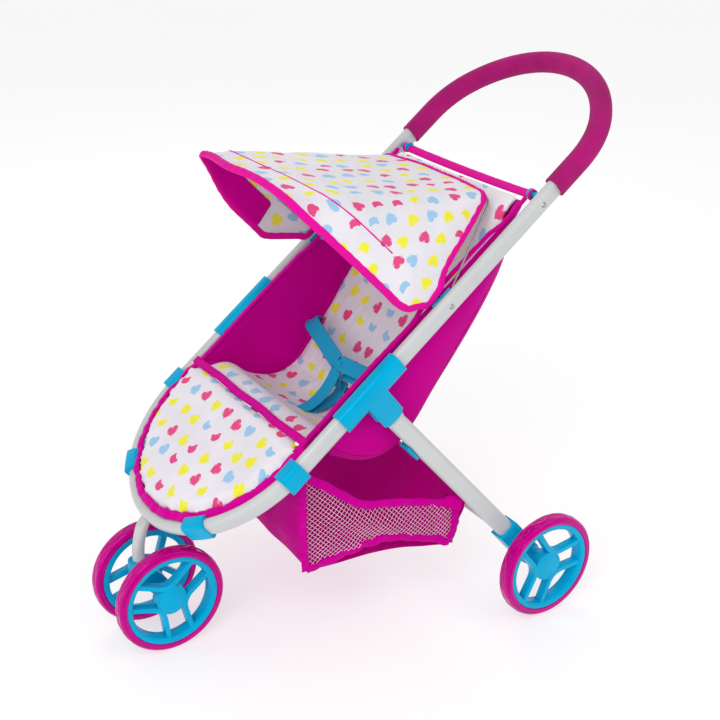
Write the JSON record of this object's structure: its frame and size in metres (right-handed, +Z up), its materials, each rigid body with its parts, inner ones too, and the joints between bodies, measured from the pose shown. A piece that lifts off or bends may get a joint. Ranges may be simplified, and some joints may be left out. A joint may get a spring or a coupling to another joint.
{
  "type": "doll stroller",
  "caption": "Folding doll stroller with a flat-oval tube frame, hooded fabric seat, basket, twin swivel front wheels and two rear wheels.",
  "frame": {"origin": "on the floor, in the middle of the stroller's length and width", "axes": "+X to the doll's left, +Y to the rear (the handle's end), +Z up"},
  "size_m": [0.4048, 0.5986, 0.5673],
  "materials": {
    "tube_white": "satin powder coat",
    "foam_raspberry": "matt foam",
    "plastic_cyan": "moulded gloss",
    "tyre_magenta": "moulded gloss",
    "steel": "zinc plated",
    "print_fabric": "printed polyester",
    "magenta_fabric": "woven polyester",
    "binding_pink": "folded binding tape",
    "webbing_cyan": "ribbed webbing",
    "plastic_white": "moulded gloss"
  },
  "bodies": {
    "frame": {"handle_tube": "tube_white", "handle_grip": "foam_raspberry", "lower_tube_left": "tube_white", "lower_tube_right": "tube_white", "mid_clip_left": "plastic_cyan", "mid_clip_right": "plastic_cyan", "tee_housing_left": "plastic_cyan", "tee_housing_right": "plastic_cyan", "leg_hinge_pins": "steel", "front_sleeve_left": "plastic_cyan", "front_sleeve_right": "plastic_cyan", "front_bow": "tube_white", "fork_tube": "tube_white", "caster_stem": "steel", "stem_clip": "steel", "frame_rivets": "steel", "strap_hooks": "plastic_cyan", "seat_side_left": "magenta_fabric", "seat_side_right": "magenta_fabric", "seat_liner": "print_fabric", "footrest": "print_fabric", "top_strap": "binding_pink", "harness_straps": "webbing_cyan", "harness_buckle": "plastic_white", "canopy_pivot_left": "plastic_cyan", "canopy_pivot_right": "plastic_cyan", "canopy_rear_bow": "steel", "canopy_roof": "print_fabric", "basket_front": "magenta_fabric", "basket_rear": "magenta_fabric", "basket_side_left": "magenta_fabric", "basket_side_right": "magenta_fabric", "basket_floor": "magenta_fabric"},
    "canopy_bow": {"canopy_front_bow": "steel", "canopy_visor": "print_fabric"},
    "rear_legs": {"rear_leg_left": "tube_white", "rear_leg_right": "tube_white", "foot_left": "plastic_cyan", "foot_right": "plastic_cyan", "rear_cross_tube": "tube_white", "rear_axles": "steel", "rear_axle_clips": "steel", "basket_clips": "plastic_cyan"},
    "caster": {"caster_block": "plastic_cyan", "front_axle": "steel", "front_axle_clips": "steel"},
    "front_wheel_left": {"front_tyre_left": "tyre_magenta", "front_rim_left": "plastic_cyan", "front_cap_left": "plastic_cyan"},
    "front_wheel_right": {"front_tyre_right": "tyre_magenta", "front_rim_right": "plastic_cyan", "front_cap_right": "plastic_cyan"},
    "rear_wheel_left": {"rear_tyre_left": "tyre_magenta", "rear_rim_left": "plastic_cyan", "rear_cap_left": "plastic_cyan"},
    "rear_wheel_right": {"rear_tyre_right": "tyre_magenta", "rear_rim_right": "plastic_cyan", "rear_cap_right": "plastic_cyan"}
  },
  "joints": [
    {"name": "rear_leg_fold", "type": "hinge", "parent": "frame", "child": "rear_legs", "pos_m": [0, -0.03294, 0.26393], "axis": [-1, 0, 0], "range_deg": [0, 84]},
    {"name": "canopy_fold", "type": "hinge", "parent": "frame", "child": "canopy_bow", "pos_m": [0, 0.03946, 0.36612], "axis": [-1, 0, 0], "range_deg": [0, 70], "deforming": ["canopy_roof"]},
    {"name": "caster_swivel", "type": "hinge", "parent": "frame", "child": "caster", "pos_m": [0, -0.25832, 0.08], "axis": [0, 0, 1], "continuous": true},
    {"name": "front_wheel_left_spin", "type": "hinge", "parent": "caster", "child": "front_wheel_left", "pos_m": [0, -0.23932, 0.06], "axis": [1, 0, 0], "continuous": true},
    {"name": "front_wheel_right_spin", "type": "hinge", "parent": "caster", "child": "front_wheel_right", "pos_m": [0, -0.23932, 0.06], "axis": [1, 0, 0], "continuous": true},
    {"name": "rear_wheel_left_spin", "type": "hinge", "parent": "rear_legs", "child": "rear_wheel_left", "pos_m": [0, 0.13448, 0.06], "axis": [1, 0, 0], "continuous": true},
    {"name": "rear_wheel_right_spin", "type": "hinge", "parent": "rear_legs", "child": "rear_wheel_right", "pos_m": [0, 0.13448, 0.06], "axis": [1, 0, 0], "continuous": true}
  ]
}
